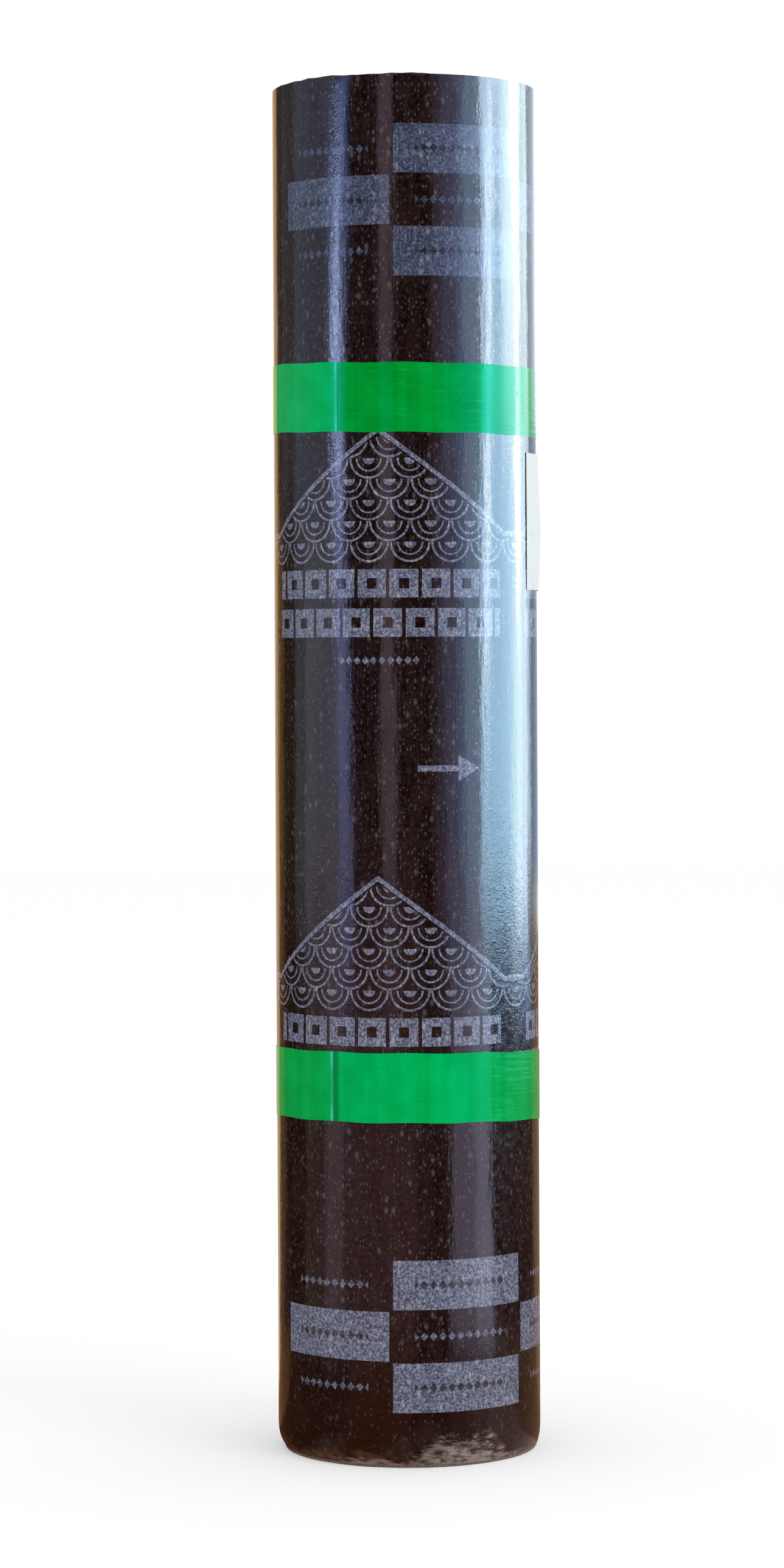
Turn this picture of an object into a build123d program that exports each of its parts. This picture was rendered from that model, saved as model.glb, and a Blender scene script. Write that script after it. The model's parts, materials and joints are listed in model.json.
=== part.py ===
from build123d import *
import os
from math import acos, degrees, pi, sqrt

# Roll of roofing felt: a bitumen sheet wound on itself, closed by two bands of tape and labelled.
# Millimetres and degrees. +Z runs up the bore, the origin is on the bore's axis at the foot of the
# roll, and the side seen from the front is -Y. Angles are counted from +X towards +Y.

# The felt sheet and how it is wound
sheet_width = 1000.0
sheet_length = 7500.0
sheet_thickness = 3.5
bore_diameter = 60.0
free_edge_angle = 125.0

# The gap that shows between two turns on the ends, which also breaks the corners of the sheet
turn_gap_width = 1.0
turn_gap_depth = 0.9

# The bands of tape, each placed from the end of the roll that it is nearer to
tape_width = 50.0
tape_thickness = 0.2
upper_tape_inset = 206.0
lower_tape_inset = 243.0

# The paper label, placed below the upper band
label_width = 150.0
label_height = 100.0
label_thickness = 0.15
label_gap_below_tape = 14.0
label_near_edge_angle = -22.0

# How far a cutting tool reaches past the surface that it cuts
tool_overrun = 1.0


# The spiral is drawn as half circles about two centres that are half a sheet thickness apart, so that
# each full turn moves in by one thickness. Its own frame has the sheet's free edge on +X.
half_pitch = sheet_thickness / 2
bore_radius = bore_diameter / 2


def radius_at_free_edge():
    """Radius at which the two half circles enclose the sheet's own section and the bore."""
    disc = sheet_length * sheet_thickness / pi + bore_radius**2
    return (sheet_thickness + sqrt(16 * disc - sheet_thickness**2)) / 4


outer_radius = radius_at_free_edge()
lower_radius = outer_radius - half_pitch
second_centre = (-half_pitch, 0)
half_turns = int((outer_radius - bore_radius - sheet_thickness) / half_pitch) + 1


def roll_section():
    """Outline of the wound sheet: two half circles and the step of the free edge between them."""
    upper_half = CenterArc((0, 0), outer_radius, 0, 180)
    lower_half = CenterArc(second_centre, lower_radius, 180, 180)
    free_edge = Line(lower_half @ 1, upper_half @ 0)
    return make_face([upper_half, lower_half, free_edge])


def wrapped_section():
    """Outline of what is pulled tight round the roll: it bridges the step in a straight line."""
    bridged = degrees(acos(lower_radius / (outer_radius + half_pitch)))
    upper_half = CenterArc((0, 0), outer_radius, 0, 180)
    lower_half = CenterArc(second_centre, lower_radius, 180, 180 - bridged)
    bridge = Line(lower_half @ 1, upper_half @ 0)
    return make_face([upper_half, lower_half, bridge])


def skin_section(thickness):
    """Section of a thin layer that lies on the wrapped outline all the way round."""
    wrapped = wrapped_section()
    return offset(wrapped, thickness) - wrapped


def gap_profile(distance, end_height, inwards):
    """Upright V, pointing into the roll from one of its ends, at a distance from the Z axis."""
    tip = end_height + inwards * turn_gap_depth
    mouth = end_height - inwards * tool_overrun
    half_mouth = turn_gap_width / 2 * (turn_gap_depth + tool_overrun) / turn_gap_depth
    corners = [(distance, tip), (distance - half_mouth, mouth), (distance + half_mouth, mouth)]
    return make_face(Plane.XZ * Polyline(*corners, close=True))


def half_turn_gap(index, end_height, inwards):
    """Cut along one half turn of the spiral, counted inwards from the free edge."""
    radius = outer_radius - index * half_pitch
    if index % 2 == 0:
        return revolve(gap_profile(radius, end_height, inwards), Axis.Z, 180)
    centre = second_centre[0]
    profile = gap_profile(centre - radius, end_height, inwards)
    return revolve(profile, Axis((centre, 0, 0), (0, 0, 1)), 180)


def end_cuts(end_height, inwards):
    """All the cuts on one end: the spiral between the turns and the broken edge of the bore."""
    spiral = [half_turn_gap(index, end_height, inwards) for index in range(half_turns)]
    bore_edge = revolve(gap_profile(bore_radius, end_height, inwards), Axis.Z)
    return spiral + [bore_edge]


def felt_roll():
    body = extrude(roll_section(), sheet_width)
    bore = Cylinder(bore_radius, sheet_width + 2 * tool_overrun)
    body -= Pos(0, 0, sheet_width / 2) * bore
    return body - end_cuts(0, 1) - end_cuts(sheet_width, -1)


def tape_band(low_edge):
    return Pos(0, 0, low_edge) * extrude(skin_section(tape_thickness), tape_width)


def paper_label(top_edge):
    """Part of a skin, cut out by a sector as wide as the label."""
    near_edge = label_near_edge_angle - free_edge_angle
    sweep_angle = degrees(label_width / lower_radius)
    reach = outer_radius + tool_overrun
    near_side = PolarLine((0, 0), 2 * reach, near_edge)
    far_side = PolarLine((0, 0), 2 * reach, near_edge + sweep_angle)
    rim = CenterArc((0, 0), 2 * reach, near_edge, sweep_angle)
    sector = make_face([near_side, rim, far_side])
    section = skin_section(label_thickness) & sector
    return Pos(0, 0, top_edge - label_height) * extrude(section, label_height)


upper_tape_low_edge = sheet_width - upper_tape_inset - tape_width
pieces = {
    "felt_roll": felt_roll(),
    "upper_tape": tape_band(upper_tape_low_edge),
    "lower_tape": tape_band(lower_tape_inset),
    "paper_label": paper_label(upper_tape_low_edge - label_gap_below_tape),
}

os.makedirs("parts", exist_ok=True)
for node, piece in pieces.items():
    export_step(Rot(0, 0, free_edge_angle) * piece, f"parts/{node}.step")

print(f"outer radius {outer_radius:.2f}, turns on each end {half_turns / 2}")
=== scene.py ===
import json
from math import acos, cos, pi, radians, sin

import bpy
import numpy as np
from mathutils import Matrix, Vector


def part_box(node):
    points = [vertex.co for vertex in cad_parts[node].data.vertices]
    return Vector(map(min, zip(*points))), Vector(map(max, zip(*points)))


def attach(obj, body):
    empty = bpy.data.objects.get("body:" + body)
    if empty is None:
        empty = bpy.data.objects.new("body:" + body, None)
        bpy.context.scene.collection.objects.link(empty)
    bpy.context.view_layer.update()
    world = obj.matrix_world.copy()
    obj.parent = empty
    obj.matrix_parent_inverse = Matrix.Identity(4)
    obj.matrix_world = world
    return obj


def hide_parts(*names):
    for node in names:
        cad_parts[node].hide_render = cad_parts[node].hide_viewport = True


# A roll of roofing felt that stands on its end: a film-faced bitumen sheet wound on itself, two bands
# of green tape and a paper label. Metres. Directions are counted from +X towards +Y, and -Y is the front.
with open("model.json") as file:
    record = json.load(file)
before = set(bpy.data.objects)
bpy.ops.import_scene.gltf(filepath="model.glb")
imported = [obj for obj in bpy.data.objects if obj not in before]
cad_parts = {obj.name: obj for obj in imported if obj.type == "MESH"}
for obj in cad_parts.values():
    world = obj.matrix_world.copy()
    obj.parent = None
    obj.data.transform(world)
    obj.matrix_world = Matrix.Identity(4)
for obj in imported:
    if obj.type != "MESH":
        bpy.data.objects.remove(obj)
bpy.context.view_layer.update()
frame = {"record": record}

# The felt: its size as the frame gives it, and its sheet as it is wound in the solids
felt_low, felt_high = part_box("felt_roll")
felt_height = felt_high.z
free_edge_radius = -felt_low.x
bore_radius = frame["record"]["mounts"][0]["dims"]["r_mm"] / 1000
sheet_thickness = 0.0035
half_pitch = sheet_thickness / 2
lower_radius = free_edge_radius - half_pitch
free_edge_direction = radians(125)
front_direction = radians(-90)

# How finely the wound sheet is drawn
steps_per_turn = 240
wall_rows = 150
bore_rows = 30
rim_support = 0.0008
sharp_angle = radians(32)

# The cut edges of the turns on the two ends, and how they wander: steps between knots, and their share
turn_gap = 0.0007
turn_gap_depth = 0.0022
turn_gap_ease = radians(20)
corner_round = 0.0005
corner_drop = 0.0003
edge_wander = {60: 0.24, 9: 0.10, 3: 0.12}
rim_corner_share = 0.35
top_rim = {"drop": 0.0012, "inset": 0.0003, "uneven": 0.0021}
foot_rim = {"drop": 0.0022, "inset": 0.0006, "uneven": 0.0004}

# The foot, where the outer turns are pressed in
foot_crush = 0.0048
foot_crush_reach = 0.0070
foot_crush_ease = 0.22
foot_crush_height = 0.0190
foot_crush_rows = 11

# Slow waves in the film face
ripple_height = 0.00009
ripple_waves = 7

# The tape, and its winding: where it ends, which way that end points, how far it laps and how it tilts
tape_thickness = 0.0002
tape_rows = 10
tape_steps_per_turn = 390
tape_climb = radians(4)
tape_bond = 0.00005
tape_layer_share = 1.3
tape_loose_reach = 0.05
tape_loose_lift = 0.00015
tape_slow_wander = 0.0004
tape_quick_wander = 0.0003
upper_tape_winding = {"end": radians(-120), "hand": 1, "lap": radians(84), "rise": (-0.0190, 0.0162)}
lower_tape_winding = {"end": radians(-125), "hand": -1, "lap": radians(433), "rise": (-0.0160, -0.0490)}

# The label: its place, and the bulge in shares of its width and height
label_thickness = 0.00015
label_columns = 60
label_rows = 30
label_near_edge = radians(-25)
label_far_edge = radians(67)
label_bond = 0.00008
label_bulge = 0.0028
label_bulge_middle = 0.26
label_bulge_spread = 0.16
label_bulge_level = 0.45
label_bulge_fade = 0.5
label_edge_lift = 0.0002
label_edge_share = 0.1

random = np.random.default_rng(seed=20)


# The wound sheet as a surface


def sheet_radius(turned):
    """Distance from the axis to the sheet's outer face, so many radians on from the free edge."""
    half_turn = np.floor(turned / pi)
    arc_radius = free_edge_radius - half_turn * half_pitch
    off_centre = half_pitch * (half_turn % 2)
    return np.sqrt(arc_radius**2 - (off_centre * np.sin(turned)) ** 2) - off_centre * np.cos(turned)


wave_turns = random.uniform(1.5, 9.0, ripple_waves)
wave_rises = random.uniform(-9.0, 9.0, ripple_waves)
wave_starts = random.uniform(0.0, 2 * pi, ripple_waves)


def ripple(turned, height):
    """Height of the slow waves in the film face."""
    total = np.zeros(np.broadcast(turned, height).shape)
    for turns, rises, start in zip(wave_turns, wave_rises, wave_starts):
        total = total + np.sin(turns * turned + rises * height + start)
    return ripple_height * total


def wrapped_radius(direction):
    """Distance from the axis to what is pulled tight round the roll: it bridges the free edge's step."""
    turned = (direction - free_edge_direction) % (2 * pi)
    bridged = acos(lower_radius / (free_edge_radius + half_pitch))
    bridge = (lower_radius - half_pitch * cos(bridged)) / np.cos(turned + bridged)
    return np.where(turned > 2 * pi - bridged, bridge, sheet_radius(turned))


def on_wrap(direction, height, lift):
    """Points that lie on the wrapped roll, raised by lift."""
    turned = (direction - free_edge_direction) % (2 * pi)
    radius = wrapped_radius(direction) + ripple(turned, height) + lift
    return np.stack([radius * np.cos(direction), radius * np.sin(direction), height], axis=-1)


# Meshes


def new_object(name, data):
    """An object in the scene that shows the data given."""
    made = bpy.data.objects.new(name, data)
    bpy.context.scene.collection.objects.link(made)
    return made


def new_piece(name, points, faces, materials, material_of_face, sheet_uv, node):
    """A mesh piece that rides on the roll in place of one of its nodes. sheet_uv has one pair per corner."""
    mesh = bpy.data.meshes.new(name)
    mesh.from_pydata([tuple(p) for p in points], [], faces)
    for material in materials:
        mesh.materials.append(material)
    mesh.polygons.foreach_set("material_index", material_of_face)
    mesh.polygons.foreach_set("use_smooth", [True] * len(faces))
    layer = mesh.uv_layers.new(name="sheet")
    layer.data.foreach_set("uv", np.asarray(sheet_uv, np.float32).ravel())
    mesh.validate()
    mesh.set_sharp_from_angle(angle=sharp_angle)
    piece = new_object(name, mesh)
    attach(piece, "root")
    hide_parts(node)
    return piece


class MeshDraft:
    """Points and faces of one piece, gathered face by face."""

    def __init__(self):
        self.points = []
        self.faces = []
        self.finish_of_face = []
        self.sheet_uv = []

    def add_points(self, points):
        first = len(self.points)
        self.points.extend(np.asarray(points).reshape(-1, 3))
        return first

    def add_face(self, corners, finish, uv):
        self.faces.append(tuple(int(c) for c in corners))
        self.finish_of_face.append(finish)
        self.sheet_uv.extend(uv)

    def add_grid(self, index, uv, finish):
        """Quads between neighbours of a grid of point numbers, with the uv of each grid point."""
        for i in range(index.shape[0] - 1):
            for j in range(index.shape[1] - 1):
                corners = (i, j), (i + 1, j), (i + 1, j + 1), (i, j + 1)
                self.add_face([index[c] for c in corners], finish, [uv[c] for c in corners])


def felt_roll(printed_film, plain_film, cut_felt):
    """The wound sheet: its printed face, its cut edges turn by turn, its free edge and its bore."""
    draft = MeshDraft()
    film, back, cut = 0, 1, 2
    step = 2 * pi / steps_per_turn
    inner_turns = (free_edge_radius - bore_radius - sheet_thickness) / sheet_thickness
    last = round(inner_turns * steps_per_turn)
    turned = np.arange(last + steps_per_turn + 1) * step
    direction = turned + free_edge_direction
    radius = sheet_radius(turned)
    along = (turned - (front_direction - free_edge_direction) % (2 * pi)) * free_edge_radius

    def pressed_in(distance, heading):
        """How far the foot is pressed in, most on the left and least on the right."""
        share = 1 - foot_crush_ease * (1 + np.cos(heading))
        return foot_crush * share * np.exp((distance - free_edge_radius) / foot_crush_reach)

    def ring(distance, height):
        heading = direction[: len(distance)]
        return np.stack([distance * np.cos(heading), distance * np.sin(heading), height], -1)

    # Bottoms of the gaps between turns, which are the rims of the outer face and of the bore at the ends
    outer_part = np.clip((turned - 2 * pi) / turn_gap_ease, 0, 1)
    inner_part = np.clip((turned[last] - turned) / turn_gap_ease, 0, 1)
    in_gap = np.minimum(outer_part, inner_part)
    on_outside = turned <= 2 * pi + step / 2

    def uneven(most):
        """How far the cut edge stands back, turn by turn, with slow and quick wanders."""
        wander = 0.5
        steps = np.arange(last + 1)
        for spacing, share in edge_wander.items():
            knots = random.normal(size=last // spacing + 3)
            wander = wander + share * np.interp(steps / spacing, np.arange(len(knots)), knots)
        return most * np.clip(wander, 0, 1)

    def end_of_roll(height, upwards, rim):
        """The spiral of cut edges on one end. Returns its gaps' drop, its rows of points and first gap."""
        drop = rim["drop"] + (turn_gap_depth - rim["drop"]) * in_gap

        def pressed(distance):
            if upwards > 0:
                return distance
            return distance - pressed_in(distance, direction[: len(distance)])

        gaps = draft.add_points(ring(pressed(radius), height - upwards * drop))
        strip = slice(0, last + 1)
        outside = radius[strip] - np.where(on_outside, rim["inset"], turn_gap / 2)[strip]
        inside = radius[steps_per_turn:] + turn_gap / 2
        land = height - upwards * uneven(rim["uneven"])
        corner = np.where(on_outside, rim["drop"] * rim_corner_share, corner_drop)[strip]
        rounding = np.where(on_outside, corner_round + rim["inset"], corner_round)[strip]
        rows = [
            (outside, land - upwards * corner),
            (outside - rounding, land),
            (inside + corner_round, land),
            (inside, land - upwards * corner_drop),
        ]
        numbers = np.arange(last + 1)
        lands = [draft.add_points(ring(pressed(distance), level)) + numbers for distance, level in rows]
        profile = [gaps + numbers] + lands + [gaps + steps_per_turn + numbers]
        order = slice(None, None, -1 if upwards > 0 else 1)
        across = np.linspace(0, sheet_thickness, len(profile))[order]
        uv = np.stack(np.broadcast_arrays(along[None, strip], across[:, None]), -1)
        draft.add_grid(np.stack(profile[order]), uv, cut)
        return drop, profile, gaps

    top_drop, top_profile, top_gaps = end_of_roll(felt_height, 1, top_rim)
    foot_drop, foot_profile, foot_gaps = end_of_roll(0.0, -1, foot_rim)

    def wall(columns, rows, sign, finish):
        """One upright face of the sheet, from the foot's rim to the top's rim."""
        turn, low, high = turned[columns], foot_drop[columns], felt_height - top_drop[columns]
        edge = rim_support / felt_height
        foot_levels = np.linspace(edge, foot_crush_height / felt_height, foot_crush_rows)
        upper_levels = np.linspace(foot_levels[-1], 1 - edge, rows - foot_crush_rows)
        levels = np.concatenate([[0.0], foot_levels, upper_levels[1:], [1.0]])[:, None]
        height = low + levels * (high - low)
        waved = radius[columns] + ripple(turn[None, :], height) * np.sin(levels * pi) ** 0.25 * sign
        heading = direction[columns]
        above_foot = np.clip((height - low) / foot_crush_height, 0, 1)
        waved = waved - pressed_in(radius[columns], heading) * (1 - above_foot) ** 3
        points = np.stack([waved * np.cos(heading), waved * np.sin(heading), height], -1)
        first = draft.add_points(points[1:-1])
        middle = first + np.arange((rows - 1) * len(turn)).reshape(rows - 1, len(turn))
        numbers = np.arange(len(turned))[columns]
        index = np.vstack([foot_gaps + numbers, middle, top_gaps + numbers])
        uv = np.stack(np.broadcast_arrays(along[columns][None, :], height), -1)
        order = slice(None, None, -1 if finish == film else 1)
        draft.add_grid(index[:, order], uv[:, order], finish)
        return index

    outside = wall(slice(0, steps_per_turn + 1), wall_rows, 1, film)
    bore = wall(slice(last, last + steps_per_turn + 1), bore_rows, 0, back)

    def sheet_end(face, column, outwards):
        """The cut end of the sheet, upright between the first and last columns of a wall."""
        pair = face[:, [0, -1]] if outwards else face[:, [-1, 0]]
        uv = np.zeros(pair.shape + (2,))
        uv[:, 1, 0] = sheet_thickness
        uv[..., 1] = np.linspace(0, felt_height, len(pair))[:, None]
        draft.add_grid(pair, uv[..., ::-1], cut)
        for profile, flip in ((top_profile, not outwards), (foot_profile, outwards)):
            corners = [row[column] for row in profile]
            corners = corners[::-1] if flip else corners
            draft.add_face(corners, cut, [(0.0, sheet_thickness / 2)] * len(corners))

    sheet_end(outside, 0, True)
    sheet_end(bore, last, False)
    return new_piece(
        "felt_roll_wound", draft.points, draft.faces, [printed_film, plain_film, cut_felt],
        draft.finish_of_face, draft.sheet_uv, "felt_roll",
    )


def thin_sheet(name, outer, inner, uv, material, node):
    """A closed thin piece between two grids of points, such as a tape or a paper label."""
    draft = MeshDraft()
    shape = outer.shape[:2]
    count = shape[0] * shape[1]
    front = draft.add_points(outer) + np.arange(count).reshape(shape)
    rear = draft.add_points(inner) + np.arange(count).reshape(shape)
    draft.add_grid(front, uv, 0)
    draft.add_grid(rear[:, ::-1], uv[:, ::-1], 0)

    def round_the_rim(grid):
        return np.concatenate([grid[0, :-1], grid[:-1, -1], grid[-1, :0:-1], grid[::-1, 0]])

    rim = np.stack([round_the_rim(rear), round_the_rim(front)])
    rim_uv = round_the_rim(uv)
    draft.add_grid(rim, np.stack([rim_uv, rim_uv]), 0)
    return new_piece(
        name, draft.points, draft.faces, [material], draft.finish_of_face, draft.sheet_uv, node
    )


def tape_band(name, node, winding, material):
    """A tape wound round the roll, with its end lapped over what lies below."""
    low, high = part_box(node)
    whole = 2 * pi + winding["lap"]
    turned = np.linspace(0, whole, round(tape_steps_per_turn * whole / (2 * pi)) + 1)
    direction = winding["end"] - winding["hand"] * (turned[-1] - turned)
    layers = sum(np.clip((turned - 2 * pi * turn) / tape_climb + 1, 0, 1) for turn in (1, 2))
    loose_end = np.clip((turned - turned[-1]) / tape_loose_reach + 1, 0, 1) ** 2
    raised = tape_bond + layers * tape_layer_share * tape_thickness + loose_end * tape_loose_lift
    wander = tape_slow_wander * np.sin(3 * direction + winding["end"])
    wander = wander + tape_quick_wander * np.sin(11 * direction)
    rise_right, rise_back = winding["rise"]
    tilt = free_edge_radius * (rise_right * np.cos(direction) + rise_back * np.sin(direction))
    level = np.linspace(low.z, high.z, tape_rows + 1)
    order = slice(None, None, winding["hand"])
    heading, across = np.meshgrid(direction[order], level, indexing="ij")
    height = across + (wander + tilt)[order, None]
    inner = on_wrap(heading, height, raised[order, None])
    outer = on_wrap(heading, height, raised[order, None] + tape_thickness)
    length = np.broadcast_to((turned * free_edge_radius)[order, None], across.shape)
    uv = np.stack([length, across - low.z], -1)
    piece = thin_sheet(name, outer, inner, uv, material, node)
    marks = {
        "to_end": (turned[-1] - turned) * free_edge_radius,
        "lapped": turned >= whole - whole % (2 * pi),
    }
    for mark_name, values in marks.items():
        mark = piece.data.attributes.new(mark_name, "FLOAT", "POINT")
        values = np.broadcast_to(values[order, None], across.shape)
        mark.data.foreach_set("value", np.tile(values.ravel(), 2).astype(np.float32))
    return piece


def paper_label(material):
    """A paper label that bulges away from the film behind its near edge."""
    low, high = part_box("paper_label")
    direction = np.linspace(label_near_edge, label_far_edge, label_columns + 1)
    level = np.linspace(low.z, high.z, label_rows + 1)
    direction, height = np.meshgrid(direction, level, indexing="ij")
    across = (direction - label_near_edge) / (label_far_edge - label_near_edge)
    up = (height - low.z) / (high.z - low.z)
    fade = label_bulge_fade * (1 - np.cos(2 * pi * (up - label_bulge_level))) / 2
    bulge = np.exp(-(((across - label_bulge_middle) / label_bulge_spread) ** 2)) * (1 - fade)
    near_edge = np.clip(1 - across / label_edge_share, 0, 1) ** 2
    raised = label_bond + label_bulge * bulge + label_edge_lift * near_edge
    inner = on_wrap(direction, height, raised)
    outer = on_wrap(direction, height, raised + label_thickness)
    uv = np.stack([across, up], -1)
    return thin_sheet("paper_label_sheet", outer, inner, uv, material, "paper_label")


# Node trees


class Graph:
    """A node tree with short calls that each add one node or a few and return their output."""

    def __init__(self, tree):
        self.tree = tree

    def add(self, kind, **settings):
        node = self.tree.nodes.new(kind)
        for name, value in settings.items():
            setattr(node, name, value)
        return node

    def feed(self, socket, value):
        """Links an output to a socket, or sets the socket to a plain value."""
        if isinstance(value, bpy.types.NodeSocket):
            self.tree.links.new(value, socket)
        else:
            socket.default_value = value

    def math(self, operation, *values):
        node = self.add("ShaderNodeMath", operation=operation)
        for socket, value in zip(node.inputs, values):
            self.feed(socket, value)
        return node.outputs[0]

    def chain(self, operation, values):
        """One operation over all the values in turn."""
        result = values[0]
        for value in values[1:]:
            result = self.math(operation, result, value)
        return result

    def total(self, *values):
        return self.chain("ADD", values)

    def product(self, *values):
        return self.chain("MULTIPLY", values)

    def greatest(self, *values):
        return self.chain("MAXIMUM", values)

    def less(self, value, taken):
        return self.math("SUBTRACT", value, taken)

    def apart(self, first, second):
        return self.math("ABSOLUTE", self.less(first, second))

    def scaled(self, value, factor, added):
        return self.math("MULTIPLY_ADD", value, factor, added)

    def above(self, value, limit):
        return self.math("GREATER_THAN", value, limit)

    def below(self, value, limit):
        return self.math("LESS_THAN", value, limit)

    def between(self, value, low, high):
        """1 where the value lies between low and high, and otherwise 0."""
        return self.product(self.above(value, low), self.below(value, high))

    def within(self, value, period):
        """How far the value is into its period."""
        return self.math("FLOORED_MODULO", value, period)

    def course(self, value, period):
        """The number of the period that the value is in."""
        return self.math("FLOOR", self.math("DIVIDE", value, period))

    def ramp(self, value, low, high, start=0.0, end=1.0, smooth=True):
        """Runs from start to end as the value goes from low to high."""
        node = self.add("ShaderNodeMapRange", interpolation_type="SMOOTHSTEP" if smooth else "LINEAR")
        for socket, part in zip(node.inputs, (value, low, high, start, end)):
            self.feed(socket, part)
        return node.outputs["Result"]

    def vector(self, x, y, z=0.0):
        node = self.add("ShaderNodeCombineXYZ")
        for socket, part in zip(node.inputs, (x, y, z)):
            self.feed(socket, part)
        return node.outputs[0]

    def parts(self, vector):
        node = self.add("ShaderNodeSeparateXYZ")
        self.feed(node.inputs[0], vector)
        return node.outputs

    def stretched(self, vector, scale):
        node = self.add("ShaderNodeVectorMath", operation="MULTIPLY")
        self.feed(node.inputs[0], vector)
        node.inputs[1].default_value = scale
        return node.outputs[0]

    def noise(self, vector, scale, detail=2.0, roughness=0.5, stretch=None):
        if stretch is not None:
            vector = self.stretched(vector, stretch)
        node = self.add("ShaderNodeTexNoise")
        self.feed(node.inputs["Vector"], vector)
        self.feed(node.inputs["Scale"], scale)
        node.inputs["Detail"].default_value = detail
        node.inputs["Roughness"].default_value = roughness
        return node.outputs["Fac"]

    def blend(self, share, first, second):
        """A colour between two."""
        node = self.add("ShaderNodeMix", data_type="RGBA")
        self.feed(node.inputs[0], share)
        self.feed(node.inputs[6], first)
        self.feed(node.inputs[7], second)
        return node.outputs[2]

    def bump(self, height, depth, normal=None):
        node = self.add("ShaderNodeBump")
        self.feed(node.inputs["Height"], height)
        node.inputs["Distance"].default_value = depth
        if normal is not None:
            self.feed(node.inputs["Normal"], normal)
        return node.outputs["Normal"]

    def place(self, group, **values):
        """Places a node group, with a value or an output for each of its inputs, and returns its mask."""
        node = self.add("ShaderNodeGroup", node_tree=group)
        for name, value in values.items():
            self.feed(node.inputs[name], value)
        return node.outputs["Mask"]

    def sheet_place(self):
        """Metres along the sheet and up it."""
        return self.add("ShaderNodeUVMap", uv_map="sheet").outputs[0]

    def body_place(self):
        return self.add("ShaderNodeTexCoord").outputs["Object"]

    def mark(self, name):
        """A value that a piece's mesh carries at each of its points."""
        return self.add("ShaderNodeAttribute", attribute_name=name).outputs["Fac"]

    def seen(self):
        """1 for what is looked at, also in a reflection or through glass, and 0 for light that falls."""
        path = self.add("ShaderNodeLightPath").outputs
        return self.greatest(path["Is Camera Ray"], path["Is Glossy Ray"], path["Is Transmission Ray"])

    def show(self, shader):
        """Makes a shader the one that the material shows."""
        self.feed(self.tree.nodes["Material Output"].inputs["Surface"], shader.outputs[0])


def colour(red, green, blue):
    return (red, green, blue, 1.0)


def mask_group(name, *values):
    """A shader node group that makes a mask of a place. Returns its tree, graph, inputs and mask."""
    tree = bpy.data.node_groups.new(name, "ShaderNodeTree")
    tree.interface.new_socket("Place", in_out="INPUT", socket_type="NodeSocketVector")
    for value in values:
        tree.interface.new_socket(value, in_out="INPUT", socket_type="NodeSocketFloat")
    tree.interface.new_socket("Mask", in_out="OUTPUT", socket_type="NodeSocketFloat")
    graph = Graph(tree)
    return tree, graph, graph.add("NodeGroupInput").outputs, graph.add("NodeGroupOutput").inputs["Mask"]


def new_material(name):
    """A material with its Principled shader. Returns it, a graph to draw it with, and the shader's inputs."""
    material = bpy.data.materials.new(name)
    material.use_nodes = True
    graph = Graph(material.node_tree)
    return material, graph, material.node_tree.nodes["Principled BSDF"].inputs


def flecks_group():
    """Small pale flecks, longer up the sheet: a share of the cells of a given size holds one."""
    tree, graph, given, mask = mask_group("flecks", "Size", "Share")
    cells = graph.add("ShaderNodeTexVoronoi", voronoi_dimensions="2D")
    graph.feed(cells.inputs["Vector"], graph.stretched(given["Place"], (1.0, 0.6, 1.0)))
    graph.feed(cells.inputs["Scale"], graph.math("DIVIDE", 1.0, given["Size"]))
    red, green, _ = graph.parts(cells.outputs["Color"])
    chosen = graph.below(red, given["Share"])
    reach = graph.ramp(green, 0.0, 1.0, 0.16, 0.42)
    spot = graph.ramp(cells.outputs["Distance"], 0.0, reach, 1.0, 0.0)
    graph.feed(mask, graph.product(chosen, spot))
    return tree


def settled_dust_group():
    """Dust from the ground: it lies in patches, thickest at the foot."""
    tree, graph, given, mask = mask_group("settled_dust", "Reach")
    height = graph.parts(given["Place"])[2]
    low = graph.ramp(height, 0.0, given["Reach"], 1.0, 0.0)
    patches = graph.ramp(graph.noise(given["Place"], 38.0, 4.0, 0.62), 0.46, 0.72)
    graph.feed(mask, graph.product(low, patches))
    return tree


# How far the print leans along the sheet, for each metre up
print_lean = 0.0047

# The printed chequer along both edges of the sheet, with a row of lozenges in each field
chequer_rows = 3
chequer_wide = 0.1070
chequer_narrow = 0.0948
chequer_height = 0.0368
chequer_start = -0.1084
chequer_period = 0.340
chequer_inset = 0.0014
chequer_foot_margin = 0.0394
chequer_top_margin = 0.0360
chequer_lozenge = {"pitch": 0.0068, "half_width": 0.0030, "half_height": 0.0032}
chequer_lozenge_margin = 0.0170
chequer_lozenge_ink = 0.75


def lozenges(graph, along, off_line, pitch, half_width, half_height):
    """A row of lozenges, drawn at a distance off its middle line."""
    aside = graph.apart(graph.within(along, pitch), pitch / 2)
    across_share = graph.math("DIVIDE", aside, half_width)
    upright_share = graph.math("DIVIDE", off_line, half_height)
    return graph.below(graph.total(across_share, upright_share), 1.0)


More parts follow.
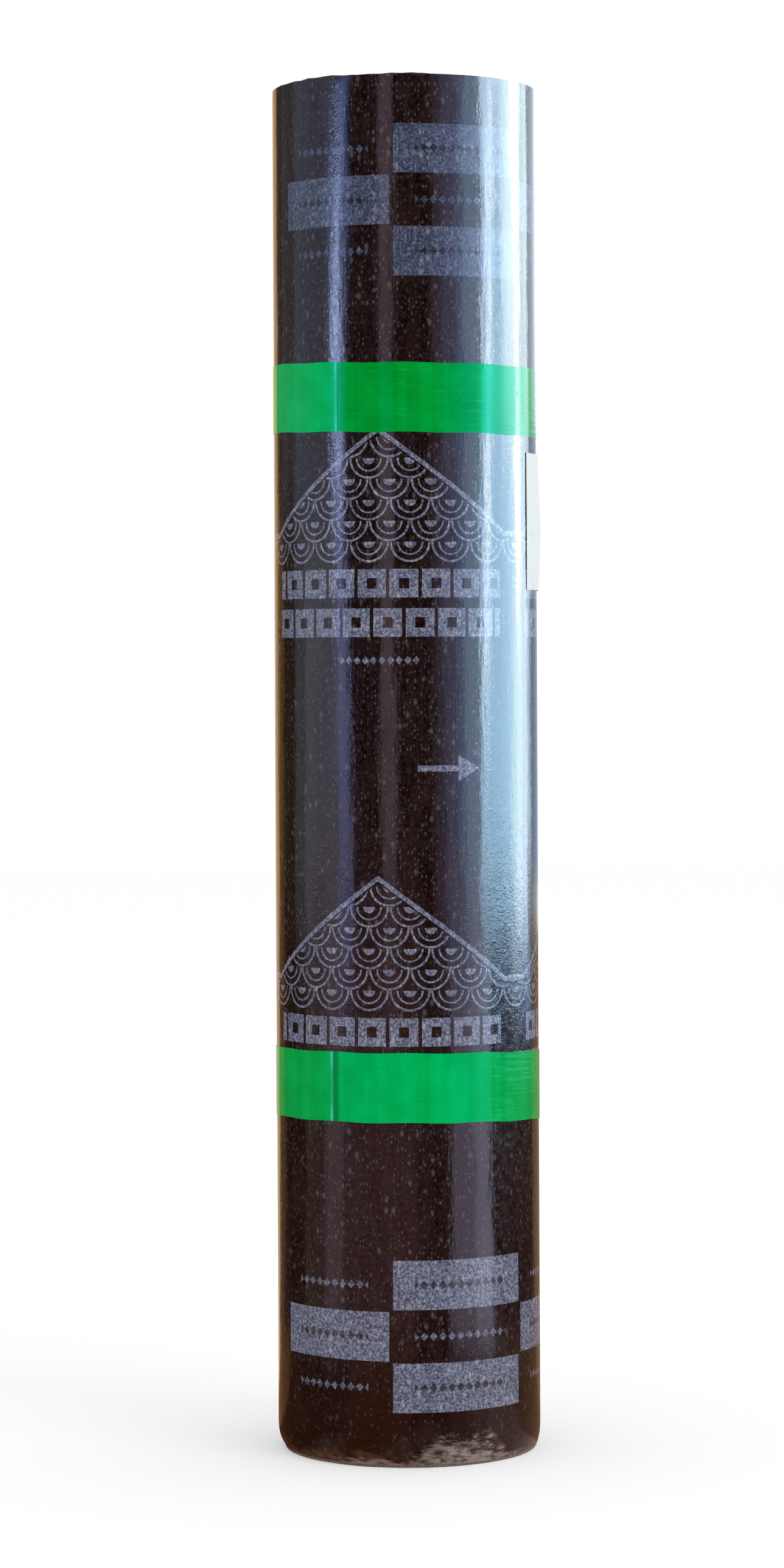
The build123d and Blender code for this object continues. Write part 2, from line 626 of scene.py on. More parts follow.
def chequer_group():
    """A strip of plain chequer in panels of three columns and rows."""
    tree, graph, given, mask = mask_group("chequer_strip", "Foot")
    along, up, _ = graph.parts(given["Place"])
    along = graph.less(along, chequer_start)
    up = graph.less(up, given["Foot"])
    row = graph.course(up, chequer_height)
    in_panel = graph.within(along, chequer_period)
    past_first = graph.above(in_panel, chequer_narrow)
    past_second = graph.above(in_panel, chequer_narrow + chequer_wide)
    second = graph.less(past_first, past_second)
    in_column = graph.less(in_panel, graph.product(past_first, chequer_narrow))
    in_column = graph.less(in_column, graph.product(past_second, chequer_wide))
    column_width = graph.scaled(second, chequer_wide - chequer_narrow, chequer_narrow)
    in_row = graph.less(up, graph.product(row, chequer_height))
    in_strip = graph.between(up, 0.0, chequer_rows * chequer_height)
    odd = graph.math("PINGPONG", graph.total(second, row), 1.0)
    pale = graph.product(
        graph.above(odd, 0.5),
        graph.between(in_column, chequer_inset, graph.less(column_width, chequer_inset)),
        graph.between(in_row, chequer_inset / 2, chequer_height - chequer_inset / 2),
    )
    off_line = graph.apart(in_row, chequer_height / 2)
    row_end = graph.less(column_width, chequer_lozenge_margin)
    middle = graph.product(
        graph.between(in_column, chequer_lozenge_margin, row_end),
        lozenges(graph, in_column, off_line, **chequer_lozenge),
    )
    inked = graph.apart(pale, graph.product(middle, chequer_lozenge_ink))
    graph.feed(mask, graph.product(in_strip, inked))
    return tree


# The printed friezes of gables, with shingles and two courses of tabs
frieze_feet = (0.6488, 0.3272)
frieze_period = 0.2235
frieze_start = -0.135
frieze_height = 0.092
eaves_height = 0.018
eaves_length = 0.012
barge_board = (0.0015, 0.0055)
shingle_width = 0.030
shingle_line = 0.0016
shingle_rim = 0.465 * shingle_width
shingle_inner = 0.30 * shingle_width
shingle_inner_line = 0.8 * shingle_line
shingle_heart = 0.15 * shingle_width
tab_drop = 0.0045
tab_length = 0.0235
tab_height = 0.0205
tab_gap = 0.0026
tab_course_gap = 0.0076
tab_course = tab_height + tab_course_gap
tab_courses = 2
tab_margin = 0.016
tab_hollow_up = (0.0065, 0.0140)
tab_hollow_along = (0.0095, 0.0168)
frieze_lozenge = {"pitch": 0.0062, "half_width": 0.0027, "half_height": 0.0030}
frieze_lozenge_drop = 0.0655
frieze_lozenge_start = 0.36 * frieze_period
frieze_lozenge_ink = 0.8


def gable_frieze_group():
    """A row of gables filled with round shingles, over courses of tabs and a short row of lozenges."""
    tree, graph, given, mask = mask_group("gable_frieze", "Foot")
    along, up, _ = graph.parts(given["Place"])
    along = graph.less(along, frieze_start)
    up = graph.less(up, given["Foot"])
    slope = graph.math("PINGPONG", along, frieze_period / 2)
    eaves = graph.ramp(slope, eaves_length, frieze_period / 2, eaves_height, frieze_height, smooth=False)

    shifted = graph.scaled(graph.course(up, shingle_width / 2), shingle_width / 2, along)
    aside = graph.less(graph.within(shifted, shingle_width), shingle_width / 2)
    below_centre = graph.less(shingle_width / 2, graph.within(up, shingle_width / 2))
    squares = graph.total(graph.product(aside, aside), graph.product(below_centre, below_centre))
    reach = graph.math("SQRT", squares)
    rings = []
    for middle, line in ((shingle_rim, shingle_line), (shingle_inner, shingle_inner_line)):
        rings.append(graph.between(reach, middle - line / 2, middle + line / 2))
    heart = graph.below(reach, shingle_heart)
    shingles = graph.product(graph.greatest(*rings, heart), graph.between(up, 0.0, eaves))

    over_eaves = graph.less(up, eaves)
    barge = graph.product(graph.between(over_eaves, *barge_board), graph.above(up, 0.0))

    under = graph.less(-tab_drop, up)
    in_course = graph.within(under, tab_course)
    staggered = graph.scaled(graph.course(under, tab_course), tab_length / 2, along)
    in_tab = graph.within(staggered, tab_length)
    tabs = graph.product(
        graph.between(under, 0.0, tab_courses * tab_course),
        graph.below(in_course, tab_height),
        graph.above(in_tab, tab_gap),
        graph.above(slope, tab_margin),
    )
    hollow = graph.product(graph.between(in_course, *tab_hollow_up), graph.between(in_tab, *tab_hollow_along))
    tabs = graph.product(tabs, graph.less(1.0, hollow))

    off_line = graph.apart(under, frieze_lozenge_drop)
    line = graph.product(
        graph.above(slope, frieze_lozenge_start),
        lozenges(graph, along, off_line, **frieze_lozenge),
    )
    graph.feed(mask, graph.greatest(shingles, barge, tabs, graph.product(line, frieze_lozenge_ink)))
    return tree


# The printed arrow that points along the sheet
arrow_start = 0.0056
arrow_height = 0.5013
arrow_neck = 0.030
arrow_tip = 0.047
arrow_shaft_half_width = 0.0022
arrow_head_half_width = 0.0095


def arrow_mask(graph, place):
    along, up, _ = graph.parts(place)
    along = graph.within(graph.less(along, arrow_start), frieze_period)
    off_line = graph.apart(up, arrow_height)
    in_shaft = graph.between(along, 0.0, arrow_neck)
    shaft = graph.product(in_shaft, graph.below(off_line, arrow_shaft_half_width))
    head_width = graph.ramp(along, arrow_neck, arrow_tip, arrow_head_half_width, 0.0, smooth=False)
    head = graph.product(graph.between(along, arrow_neck, arrow_tip), graph.below(off_line, head_width))
    return graph.greatest(shaft, head)


# The scuffed patch at the foot, the rim rubbed on the floor, and the brown wear all round, which is partly a
# painted warm sheen along the bottom
scuff_middle = 0.041
scuff_width = 0.045
scuff_height = 0.0230
rubbed_middle = 0.024
rubbed_width = 0.095
rubbed_height = 0.0085
wear_and_sheen_height = 0.0240


def scuff_masks(graph, place):
    """Scuffs at the foot: a pale torn patch where the roll was rocked, and brown wear all round that is
    partly a painted warm sheen.
    """
    along, up, _ = graph.parts(place)
    broad = graph.ramp(graph.apart(along, scuff_middle), scuff_width * 0.4, scuff_width, 1.0, 0.0)
    torn = graph.noise(place, 230.0, 4.0, 0.68, stretch=(0.50, 1.4, 1.0))
    patches = graph.noise(place, 70.0, 3.0, 0.55, stretch=(0.40, 1.0, 1.0))
    pale_low = graph.ramp(up, 0.0, graph.scaled(broad, scuff_height, rubbed_height), 1.0, 0.0)
    pale = graph.total(graph.product(torn, 0.90), graph.product(patches, 0.40))
    pale = graph.ramp(graph.scaled(pale_low, 0.26, pale), 0.62, 1.14)
    rubbed = graph.ramp(graph.apart(along, rubbed_middle), rubbed_width * 0.6, rubbed_width, 0.85, 0.05)
    pale = graph.product(pale, graph.ramp(pale_low, 0.0, 0.20), graph.greatest(broad, rubbed))
    # Brown wear round the foot, partly painted sheen: a warm glow of light along the bottom, painted into the
    # colour.
    wear_and_sheen_low = graph.ramp(up, 0.0, wear_and_sheen_height, 1.0, 0.0)
    worn = graph.total(graph.product(torn, 0.5), graph.product(patches, 0.6))
    worn = graph.ramp(graph.scaled(wear_and_sheen_low, 0.22, worn), 0.66, 0.84)
    return pale, graph.product(worn, graph.ramp(wear_and_sheen_low, 0.0, 0.2))


# The film and its ink, which is darker towards the top
film_dark = colour(0.0058, 0.0013, 0.0010)
film_light = colour(0.0160, 0.0066, 0.0066)
film_cloud = colour(0.022, 0.0115, 0.0115)
film_mottle = colour(0.040, 0.0245, 0.0240)
film_smudge = colour(0.046, 0.031, 0.031)
film_foot = colour(0.0140, 0.0028, 0.0016)
film_speck = colour(0.20, 0.170, 0.175)
back_speck = colour(0.12, 0.10, 0.10)
ink_thin = colour(0.078, 0.092, 0.162)
ink_full = colour(0.285, 0.302, 0.405)
ink_thin_high = colour(0.030, 0.042, 0.090)
ink_full_high = colour(0.100, 0.124, 0.205)
ink_blotch = colour(0.055, 0.060, 0.100)
ink_speck = colour(0.50, 0.52, 0.61)
worn_brown_and_sheen = colour(0.100, 0.043, 0.018)
scuff_pale = colour(0.50, 0.385, 0.335)
ink_dims = (0.74, 0.86)
foot_reddens = (0.015, 0.100)
film_dust_reach = 0.05
film_dust_share = 0.06
rib_stretch = (1.0, 0.16, 1.0)
film_bump = 0.00008
rib_bump = 0.00030


def film_colour(graph, streaks):
    """Film over bitumen, with faint darker and lighter lines across the sheet."""
    return graph.blend(graph.ramp(streaks, 0.34, 0.68), film_dark, film_light)


def printed_film_material(flecks, settled_dust, chequer, frieze):
    """Thin glossy film over black bitumen, printed in one pale ink that has worn into specks."""
    material, graph, shader = new_material("printed_film")
    place = graph.sheet_place()
    body_place = graph.body_place()
    along, up, _ = graph.parts(place)
    printed_place = graph.vector(graph.scaled(up, -print_lean, along), up)
    chequer_top = felt_height - chequer_top_margin - chequer_rows * chequer_height
    ink = graph.greatest(
        graph.place(chequer, Place=printed_place, Foot=chequer_foot_margin),
        graph.place(chequer, Place=printed_place, Foot=chequer_top),
        *[graph.place(frieze, Place=printed_place, Foot=foot) for foot in frieze_feet],
        arrow_mask(graph, printed_place),
    )
    streaks = graph.noise(place, 110.0, 3.0, 0.6, stretch=rib_stretch)
    clouds = graph.noise(place, 45.0, 3.0, 0.55)
    blotches = graph.noise(place, 260.0, 2.0, 0.6)
    grain = graph.noise(place, 640.0, 2.0, 0.6)
    mottle = graph.noise(place, 340.0, 2.5, 0.6)
    ink_grain = graph.ramp(graph.noise(place, 470.0, 2.0, 0.6), 0.36, 0.68)
    smudges = graph.ramp(graph.noise(place, 330.0, 3.0, 0.6, stretch=(1.0, 0.50, 1.0)), 0.50, 0.74)
    fine = graph.place(flecks, Place=place, Size=0.0026, Share=0.40)
    coarse = graph.place(flecks, Place=place, Size=0.0056, Share=0.18)
    specks = graph.greatest(fine, coarse)

    film = graph.blend(graph.ramp(clouds, 0.45, 0.75, 0.0, 0.6), film_colour(graph, streaks), film_cloud)
    film = graph.blend(graph.ramp(mottle, 0.46, 0.74, 0.0, 0.55), film, film_mottle)
    film = graph.blend(graph.product(smudges, 0.50), film, film_smudge)
    film = graph.blend(graph.ramp(up, *foot_reddens, 0.88, 0.0), film, film_foot)
    film = graph.blend(graph.product(specks, graph.ramp(up, 0.02, 0.12, 0.22, 0.38)), film, film_speck)

    wear = graph.total(graph.product(grain, 0.7), graph.product(clouds, 0.3))
    ink_left = graph.product(ink, graph.ramp(wear, 0.34, 0.52, 0.35, 0.95))
    ink_low = graph.blend(ink_grain, ink_thin, ink_full)
    ink_high = graph.blend(ink_grain, ink_thin_high, ink_full_high)
    ink_colour = graph.blend(graph.ramp(up, *ink_dims), ink_low, ink_high)
    ink_colour = graph.blend(graph.ramp(blotches, 0.50, 0.70, 0.0, 0.65), ink_colour, ink_blotch)
    bright_specks = graph.greatest(specks, graph.product(smudges, 0.7))
    bright_share = graph.ramp(up, *ink_dims, 0.70, 0.35)
    ink_colour = graph.blend(graph.product(bright_specks, bright_share), ink_colour, ink_speck)
    printed = graph.blend(ink_left, film, ink_colour)

    pale_scuffs, foot_wear_and_sheen = scuff_masks(graph, place)
    dust = graph.place(settled_dust, Place=body_place, Reach=film_dust_reach)
    dust = graph.product(dust, film_dust_share)
    # Brown wear at the foot, partly a painted warm sheen along the bottom.
    printed = graph.blend(graph.product(foot_wear_and_sheen, 0.8), printed, worn_brown_and_sheen)
    soiled = graph.greatest(graph.product(pale_scuffs, 0.95), dust)
    graph.feed(shader["Base Color"], graph.blend(soiled, printed, scuff_pale))

    rough = graph.ramp(graph.noise(place, 160.0, 4.0, 0.6), 0.32, 0.72, 0.075, 0.165)
    dirt = graph.greatest(pale_scuffs, dust, graph.product(foot_wear_and_sheen, 0.5))
    rough = graph.total(rough, graph.product(ink_left, 0.05), graph.product(dirt, 0.45))
    graph.feed(shader["Roughness"], rough)
    height = graph.total(
        graph.product(specks, 0.30),
        graph.product(grain, 0.55),
        graph.product(smudges, 0.30),
        graph.product(blotches, 0.35),
    )
    ribs = graph.noise(place, 85.0, 3.0, 0.55, stretch=rib_stretch)
    graph.feed(shader["Normal"], graph.bump(height, film_bump, graph.bump(ribs, rib_bump)))
    return material


def plain_film_material(flecks):
    """The same film, unprinted, on the inside of the sheet."""
    material, graph, shader = new_material("plain_film")
    place = graph.sheet_place()
    streaks = graph.noise(place, 140.0, 3.0, 0.6, stretch=(1.0, 0.05, 1.0))
    film = film_colour(graph, streaks)
    specks = graph.place(flecks, Place=place, Size=0.0030, Share=0.4)
    graph.feed(shader["Base Color"], graph.blend(graph.product(specks, 0.4), film, back_speck))
    graph.feed(shader["Roughness"], graph.ramp(graph.noise(place, 160.0, 4.0), 0.3, 0.8, 0.28, 0.45))
    graph.feed(shader["Normal"], graph.bump(graph.noise(place, 800.0), 0.00006))
    return material


# The cut edge of the sheet
bitumen_dark = colour(0.010, 0.009, 0.009)
bitumen_light = colour(0.035, 0.030, 0.028)
fleece_pale = colour(0.15, 0.125, 0.095)
grit_pale = colour(0.16, 0.14, 0.125)
gap_painted_shade = colour(0.003, 0.0025, 0.0025)
ground_dust = colour(0.27, 0.190, 0.150)
fleece_place = 0.0013
fleece_wander = 0.0008
fleece_edge = (0.0001, 0.00045)
gap_edge = (0.0006, 0.0012)
cut_dust_reach = 0.0018
rubbed_turn = (free_edge_radius - 0.0095, free_edge_radius - 0.0070)
rubbed_rim = (0.002, 0.006)
cut_bump = 0.00025


def cut_felt_material(flecks, settled_dust):
    """The cut edge: bitumen either side of a pale line of fleece, and painted shade, near black, in the gaps
    between turns.
    """
    material, graph, shader = new_material("cut_felt")
    place = graph.sheet_place()
    body_place = graph.body_place()
    along, across, _ = graph.parts(place)
    lumps = graph.noise(body_place, 700.0, 4.0, 0.65)
    bitumen = graph.blend(graph.ramp(lumps, 0.35, 0.7), bitumen_dark, bitumen_light)
    wander = graph.noise(graph.vector(along, 0.0), 60.0, 3.0)
    off_fleece = graph.apart(across, graph.scaled(wander, fleece_wander, fleece_place))
    strands = graph.ramp(graph.noise(place, 520.0, 2.0), 0.38, 0.62)
    fleece = graph.product(graph.ramp(off_fleece, *fleece_edge, 1.0, 0.0), strands)
    felt = graph.blend(graph.product(fleece, 0.8), bitumen, fleece_pale)
    grit = graph.place(flecks, Place=body_place, Size=0.0030, Share=0.35)
    felt = graph.blend(graph.product(grit, 0.5), felt, grit_pale)
    # Painted shade: the gaps between turns are darkened to near black, as shade falls in them.
    in_gap = graph.ramp(graph.apart(across, sheet_thickness / 2), *gap_edge)
    felt = graph.blend(in_gap, felt, gap_painted_shade)
    dust = graph.place(settled_dust, Place=body_place, Reach=cut_dust_reach)
    aside, ahead, height = graph.parts(body_place)
    from_axis = graph.math("SQRT", graph.total(graph.product(aside, aside), graph.product(ahead, ahead)))
    rubbed = graph.product(
        graph.ramp(from_axis, *rubbed_turn),
        graph.ramp(height, *rubbed_rim, 1.0, 0.0),
        graph.ramp(lumps, 0.30, 0.62, 0.3, 0.9),
    )
    soiled = graph.greatest(graph.product(dust, 0.6), rubbed)
    graph.feed(shader["Base Color"], graph.blend(soiled, felt, ground_dust))
    graph.feed(shader["Roughness"], graph.ramp(lumps, 0.3, 0.7, 0.5, 0.8))
    graph.feed(shader["Normal"], graph.bump(graph.total(lumps, fleece), cut_bump))
    return material


# The tape, in the thin and the full tint of its mottling
single_thin = colour(0.0004, 0.286, 0.020)
single_full = colour(0.0006, 0.380, 0.048)
double_thin = colour(0.0005, 0.365, 0.055)
double_full = colour(0.0008, 0.466, 0.094)
lapped_thin = colour(0.0006, 0.415, 0.076)
lapped_full = colour(0.0010, 0.530, 0.130)
crease_highlight_green = colour(0.004, 0.60, 0.22)
shade_green = colour(0.0003, 0.20, 0.018)
end_glint_green = colour(0.06, 0.66, 0.42)
tape_middle = 0.025
tape_end_glint_reach = (0.008, 0.024)
tape_pale_end = 0.0016
tape_fray = 0.0012
tape_shade = (0.0050, 0.0085)
shaded_turns = 1.8
one_turn = 2 * pi * free_edge_radius
tape_start_edge = 0.001
tape_bump = 0.00010


def green_tape_material(flecks):
    """Thin green packing tape: paler where it lies double, with fine creases along it that carry a painted
    highlight.
    """
    material, graph, shader = new_material("green_tape")
    place = graph.sheet_place()
    along, across, _ = graph.parts(place)
    clouds = graph.noise(place, 38.0, 3.0, 0.55)
    creases = graph.noise(place, 420.0, 3.0, 0.6, stretch=(0.07, 1.0, 1.0))
    bands = graph.noise(place, 90.0, 2.0, stretch=(1.0, 0.03, 1.0))
    tint = graph.ramp(graph.total(graph.product(clouds, 0.5), graph.product(bands, 0.5)), 0.36, 0.66)
    single = graph.blend(tint, single_thin, single_full)
    double = graph.blend(tint, double_thin, double_full)
    under_lap = graph.blend(tint, lapped_thin, lapped_full)
    doubled = graph.ramp(along, one_turn - tape_start_edge, one_turn)
    green = graph.blend(graph.mark("lapped"), graph.blend(doubled, single, double), under_lap)
    # Painted highlight: the creases are drawn as paler green lines, as where they catch the light.
    green = graph.blend(graph.ramp(creases, 0.58, 0.76, 0.0, 0.35), green, crease_highlight_green)

    to_end = graph.mark("to_end")
    # Painted shade: a darker strip just inside the end of the outer turn, on the lower tape only.
    inside_end = graph.ramp(to_end, *tape_shade, 0.8, 0.0)
    inside_end = graph.product(inside_end, graph.above(along, shaded_turns * one_turn))
    green = graph.blend(inside_end, green, shade_green)
    # The tape's cut end: a pale frayed line, with a painted glint that is brightest at its two corners.
    frayed = graph.scaled(graph.noise(place, 500.0), tape_fray, tape_pale_end)
    corners = graph.ramp(graph.apart(across, tape_middle), *tape_end_glint_reach, 0.45, 1.0)
    pale_end_and_glint = graph.product(graph.below(to_end, frayed), corners, 0.9)
    graph.feed(shader["Base Color"], graph.blend(pale_end_and_glint, green, end_glint_green))
    graph.feed(shader["Roughness"], graph.ramp(creases, 0.3, 0.7, 0.09, 0.17))
    shader["Specular IOR Level"].default_value = 0.24
    shader["Specular Tint"].default_value = colour(0.0, 1.0, 0.95)
    specks = graph.place(flecks, Place=place, Size=0.0090, Share=0.30)
    height = graph.total(graph.product(creases, 0.8), graph.product(specks, 0.7), graph.product(bands, 0.8))
    graph.feed(shader["Normal"], graph.bump(height, tape_bump))
    return material


# The label's paper, with the bluish cast of sky light painted into it
paper_dull_sky_tint = colour(0.81, 0.885, 0.89)
paper_clear_sky_tint = colour(0.87, 0.93, 0.935)
paper_mark = colour(0.70, 0.68, 0.63)


def label_paper_material():
    """Blank white label paper, painted with the bluish cast of sky light, with a faint fibre and handling
    marks.
    """
    material, graph, shader = new_material("label_paper")
    place = graph.body_place()
    fibre = graph.noise(place, 1500.0, 3.0, 0.6)
    handled = graph.ramp(graph.noise(place, 60.0, 4.0, 0.6), 0.58, 0.8, 0.0, 0.5)
    paper = graph.blend(graph.ramp(fibre, 0.3, 0.7), paper_dull_sky_tint, paper_clear_sky_tint)
    graph.feed(shader["Base Color"], graph.blend(handled, paper, paper_mark))
    graph.feed(shader["Roughness"], graph.ramp(fibre, 0.2, 0.8, 0.80, 0.95))
    shader["Specular IOR Level"].default_value = 0.06
    graph.feed(shader["Normal"], graph.bump(fibre, 0.00004))
    return material


flecks = flecks_group()
settled_dust = settled_dust_group()
printed_film = printed_film_material(flecks, settled_dust, chequer_group(), gable_frieze_group())
green_tape = green_tape_material(flecks)
felt_roll(printed_film, plain_film_material(flecks), cut_felt_material(flecks, settled_dust))
tape_band("upper_tape_wound", "upper_tape", upper_tape_winding, green_tape)
tape_band("lower_tape_wound", "lower_tape", lower_tape_winding, green_tape)
paper_label(label_paper_material())


# The studio

photo_width, photo_height = 1288, 2576
axis_scale = 2222
camera_distance = 3.0
eye_height = 0.57
horizon_row = 1105.0
axis_column = 667.6
camera_roll = radians(-0.27)
focal_pixels = axis_scale * camera_distance
sensor = 36.0
card_distance = 6.0
card_height = 3.4
window_rail = 1.1
left_rail = 0.9
card_step = 4
floor_card_lift = 0.0006
floor_inside = 0.085
floor_near = 0.60
floor_window = 3.8
floor_radius = 9.0
floor_sides = 96
floor_lift = 0.27


def photo_camera():
    """A level camera at the photograph's place, shifted so that the roll stands where it does there."""
    data = bpy.data.cameras.new("photo_camera")
    data.sensor_width = sensor
    data.lens = focal_pixels * sensor / photo_height
    camera = new_object("photo_camera", data)
    data.shift_x = (photo_width / 2 - axis_column) / photo_height
    data.shift_y = (horizon_row - photo_height / 2) / photo_height
    camera.matrix_world = (
        Matrix.Translation((0, -camera_distance, eye_height))
        @ Matrix.Rotation(pi / 2, 4, "X")
        @ Matrix.Rotation(camera_roll, 4, "Z")
    )
    bpy.context.scene.camera = camera


def glossy_card(name, points, faces, shade, brightness):
    """A card that shows only in reflections: it shapes the gloss and leaves the light as it is."""
    mesh = bpy.data.meshes.new(name)
    mesh.from_pydata(points, [], faces)
    card = new_object(name, mesh)
    card.visible_camera = False
    card.visible_diffuse = False
    card.visible_shadow = False
    card.visible_transmission = False
    material, graph, _ = new_material(name)
    glow = graph.add("ShaderNodeEmission")
    glow.inputs["Color"].default_value = colour(*shade)
    glow.inputs["Strength"].default_value = brightness
    graph.show(glow)
    mesh.materials.append(material)


def arc_points(first, last, distance, height):
    """Points round the roll. Bearings are degrees from the camera to the viewer's right."""
    steps = max(1, round(abs(last - first) / card_step))
    headings = [front_direction + radians(first + (last - first) * i / steps) for i in range(steps + 1)]
    return [(distance * cos(h), distance * sin(h), height) for h in headings]


def strip_faces(count):
    return [(i, i + 1, count + i + 1, count + i) for i in range(count - 1)]


def standing_card(
    name, first, last, shade, brightness=1.0, low=0.0, high=card_height, lean=0.0, nearer=0.0
):
    """A curved upright card between two bearings. Its head may lean aside by some degrees."""
    foot = arc_points(first, last, card_distance - nearer, low)
    head = arc_points(first + lean, last + lean, card_distance - nearer, high)
    glossy_card(name, foot + head, strip_faces(len(foot)), shade, brightness)


def lying_card(name, first, last, shade, brightness=1.0, near=floor_near, far=card_distance):
    """A card on the floor between two bearings."""
    inner = arc_points(first, last, near, floor_card_lift)
    outer = arc_points(first, last, far, floor_card_lift)
    glossy_card(name, inner + outer, strip_faces(len(inner)), shade, brightness)


def foot_card(name, first, last, shade):
    """A card on the floor close to the foot."""
    lying_card(name, first, last, shade, near=floor_inside, far=floor_near)


def soft_light(name, bearing, distance, width, low, high, radiance, tint):
    """An upright area lamp that faces the roll, as bright as its radiance says."""
    data = bpy.data.lights.new(name, "AREA")
    data.shape = "RECTANGLE"
    data.size = width
    data.size_y = high - low
    data.energy = radiance * pi * width * (high - low)
    data.color = tint
    lamp = new_object(name, data)
    heading = front_direction + radians(bearing)
    lamp.location = (cos(heading) * distance, sin(heading) * distance, (low + high) / 2)
    lamp.rotation_euler = (pi / 2, 0, heading + pi / 2)
    lamp.visible_glossy = False


def pale_floor():
    """A matt floor that is lifted to white where it is looked at and keeps the roll's shadow."""
    mesh = bpy.data.meshes.new("pale_floor")
    headings = [2 * pi * side / floor_sides for side in range(floor_sides)]
    rim = [(floor_radius * cos(heading), floor_radius * sin(heading), 0.0) for heading in headings]
    mesh.from_pydata(rim, [], [tuple(range(floor_sides))])
    floor = new_object("pale_floor", mesh)
    material, graph, _ = new_material("pale_floor")
    matt = graph.add("ShaderNodeBsdfDiffuse")
    matt.inputs["Color"].default_value = colour(0.90, 0.90, 0.90)
    glow = graph.add("ShaderNodeEmission")
    graph.feed(glow.inputs["Strength"], graph.product(graph.seen(), floor_lift))
    both = graph.add("ShaderNodeAddShader")
    graph.feed(both.inputs[0], matt.outputs[0])
    graph.feed(both.inputs[1], glow.outputs[0])
    graph.show(both)
    mesh.materials.append(material)


def white_surround(daylight):
    """A world that is white to look at, also in reflections, and lights the roll at a plain level."""
    world = bpy.data.worlds.new("white_surround")
    bpy.context.scene.world = world
    world.use_nodes = True
    graph = Graph(world.node_tree)
    back = world.node_tree.nodes["Background"]
    back.inputs["Color"].default_value = colour(1, 1, 1)
    graph.feed(back.inputs["Strength"], graph.ramp(graph.seen(), 0.0, 1.0, daylight, 1.0, smooth=False))


photo_camera()
pale_floor()
white_surround(daylight=0.80)
soft_light(
    "key", bearing=48, distance=3.8, width=2.2, low=1.4, high=3.2, radiance=2.6, tint=(1.0, 0.99, 0.97)
)

# What the film mirrors, from the front round by the right, then from the front round by the left
standing_card("front", -54, 24, (0.014, 0.008, 0.010))
standing_card("front_band", -22, -9, (1.0, 0.78, 1.0), 0.95, nearer=0.1)
standing_card("front_right_dark", 24, 33, (0.68, 0.64, 1.0), 0.55)
standing_card("front_right_dim", 33, 45, (0.49, 0.57, 1.0), 1.5)
standing_card("front_right_pale", 45, 52, (0.42, 0.60, 1.0), 2.7)
standing_card("front_right", 52, 72, (0.48, 0.68, 1.0), 4.6)
standing_card("window_edge", 70.5, 75.5, (0.72, 0.87, 1.0), 24.0, low=0.5, high=1.9, lean=7, nearer=0.2)
standing_card("window_near_low", 67, 104, (0.43, 0.73, 1.0), 14.0, low=0.05, high=window_rail, nearer=0.1)
standing_card("window_far_low", 104, 121, (0.62, 0.85, 1.0), 12.6, high=window_rail)
standing_card("window_end_low", 121, 131, (0.68, 0.86, 1.0), 8.2, high=window_rail)
standing_card("window_jamb_low", 131, 139, (0.62, 0.80, 1.0), 4.2, low=0.15, high=window_rail)
standing_card("window_near_high", 69, 94, (0.57, 0.79, 1.0), 16.5, low=window_rail, nearer=0.1)
standing_card("window_bar", 83, 91, (0.44, 0.75, 1.0), 12.5, low=window_rail, high=1.75, nearer=0.2)
standing_card("window_mid_high", 94, 106, (0.68, 0.89, 1.0), 16.0, low=window_rail)
standing_card("window_far_high", 106, 121, (0.79, 0.94, 1.0), 13.0, low=window_rail)
standing_card("window_gleam_low", 113, 117, (0.90, 0.97, 1.0), 30.0, low=0.75, high=1.25, nearer=0.1)
standing_card("window_gleam_high", 113, 117, (0.90, 0.97, 1.0), 22.0, low=1.47, nearer=0.1)
standing_card("window_gleam_top", 106, 113, (0.85, 0.95, 1.0), 22.0, low=1.6, nearer=0.1)
standing_card("window_end_high", 121, 137, (0.73, 0.91, 1.0), 6.8, low=window_rail)
standing_card("back_right_low", 139, 180, (0.55, 0.75, 1.0), 0.9, low=0.10, high=window_rail)
standing_card("back_right_high", 137, 180, (0.73, 0.85, 1.0), 1.6, low=window_rail)
standing_card("slit_top", -63, -53, (0.24, 0.40, 1.0), 3.6, low=1.62, high=2.4, lean=8, nearer=0.1)
standing_card("slit_high", -68.5, -61.5, (0.46, 0.58, 1.0), 17.0, low=1.29, high=1.62, lean=7, nearer=0.1)
standing_card("slit_middle", -61.5, -54.5, (0.46, 0.57, 1.0), 18.0, low=1.0, high=1.29, lean=-7, nearer=0.1)
standing_card("slit_halo", -72, -50, (0.36, 0.50, 1.0), 2.2, low=1.40, high=1.75, nearer=0.05)
standing_card("slit_low", -59, -47, (0.43, 0.50, 1.0), 3.2, high=1.0, lean=-7, nearer=0.1)
standing_card("left_low", -98, -54, (0.74, 0.79, 1.0), 1.2, high=left_rail)
standing_card("left_far_low", -112, -98, (0.80, 0.90, 1.0), 0.5, high=left_rail)
standing_card("left_high", -112, -54, (0.60, 0.72, 1.0), 0.80, low=left_rail)
standing_card("back_left_low", -134, -112, (0.06, 0.05, 0.015), high=left_rail)
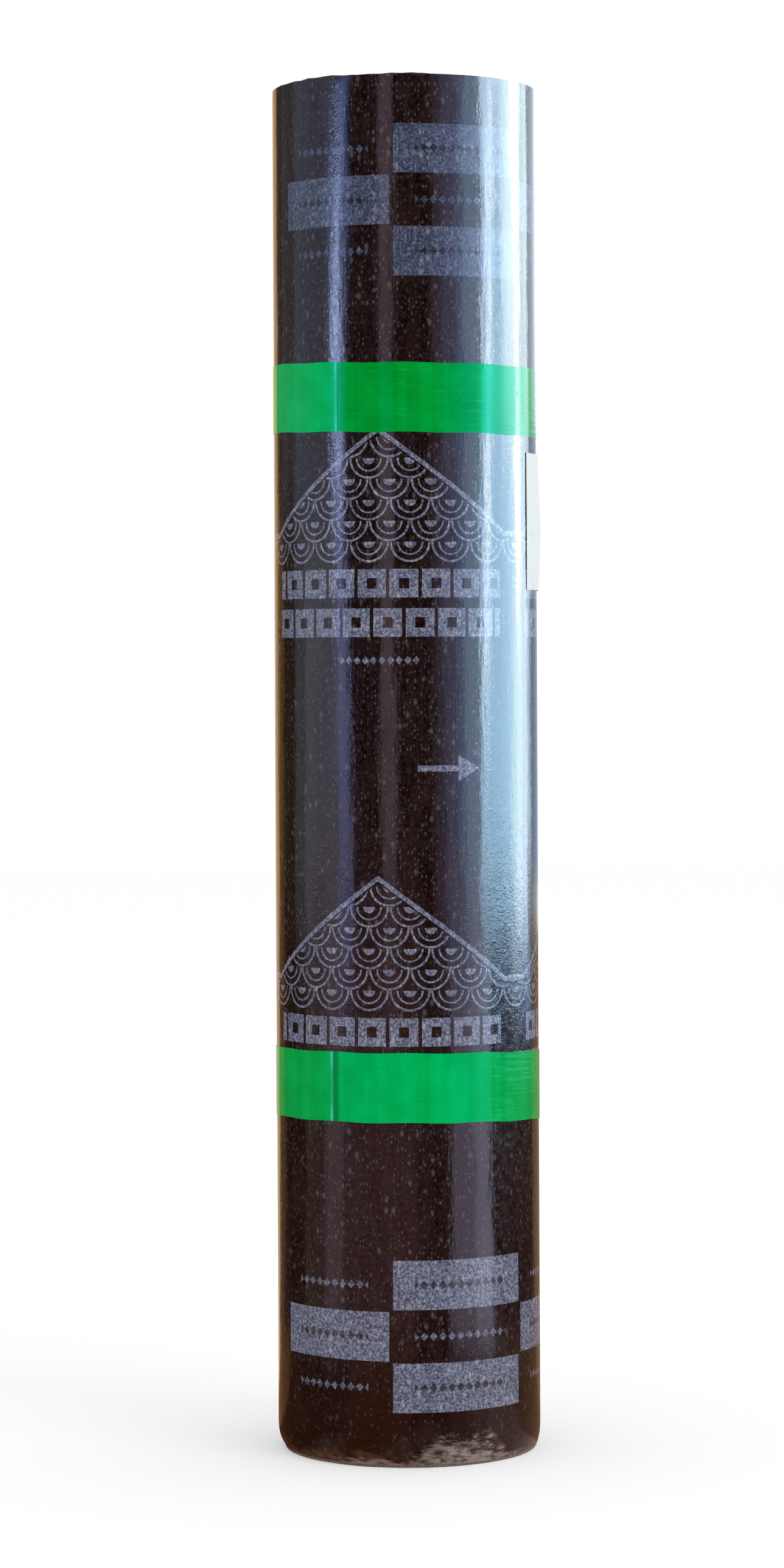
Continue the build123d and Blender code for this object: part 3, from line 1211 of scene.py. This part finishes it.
standing_card("back_left_high", -134, -112, (0.22, 0.20, 0.22), low=left_rail)
standing_card("back_left_warm_low", -150, -134, (0.34, 0.16, 0.06), high=left_rail)
standing_card("back_left_warm_high", -150, -134, (0.12, 0.09, 0.06), low=left_rail)
standing_card("back_left", -180, -150, (0.95, 0.62, 0.34))

# The floor as the film mirrors it: beyond floor_near, then close to the foot
lying_card("floor_front", -56, 8, (0.42, 0.20, 0.19))
lying_card("floor_front_dark", 8, 36, (0.12, 0.04, 0.03))
lying_card("floor_sheen_dim", 36, 58, (0.80, 0.72, 1.0), 1.5)
lying_card("floor_sheen", 58, 75, (0.78, 0.76, 1.0), 2.6)
lying_card("floor_right", 75, 137, (0.10, 0.035, 0.02), far=floor_window)
lying_card("floor_window_near", 75, 104, (0.27, 0.50, 1.0), 1.3, near=floor_window)
lying_card("floor_window_far", 104, 137, (0.30, 0.55, 1.0), 2.5, near=floor_window)
lying_card("floor_back_right", 137, 180, (0.36, 0.23, 0.13), near=floor_inside)
lying_card("floor_slit", -74, -56, (0.83, 0.56, 0.67))
lying_card("floor_left_pale", -98, -74, (0.30, 0.20, 0.15))
lying_card("floor_left", -134, -98, (0.06, 0.03, 0.012))
lying_card("floor_left_warm", -151.5, -134, (0.24, 0.12, 0.045))
lying_card("floor_back_left", -180, -151.5, (0.90, 0.63, 0.38))
foot_card("foot_front", -48, 0, (0.28, 0.09, 0.04))
foot_card("foot_front_dark", 0, 30, (0.08, 0.025, 0.015))
foot_card("foot_right_dim", 30, 45, (0.24, 0.14, 0.11))
foot_card("foot_right_mid", 45, 60, (0.40, 0.26, 0.22))
foot_card("foot_right", 60, 87, (0.52, 0.35, 0.30))
foot_card("foot_far_right", 87, 137, (0.30, 0.15, 0.08))
foot_card("foot_left", -118, -48, (0.10, 0.04, 0.015))
foot_card("foot_far_left", -148, -118, (0.30, 0.14, 0.05))
foot_card("foot_back_left", -180, -148, (0.95, 0.66, 0.42))

bpy.context.scene.view_settings.view_transform = "Standard"
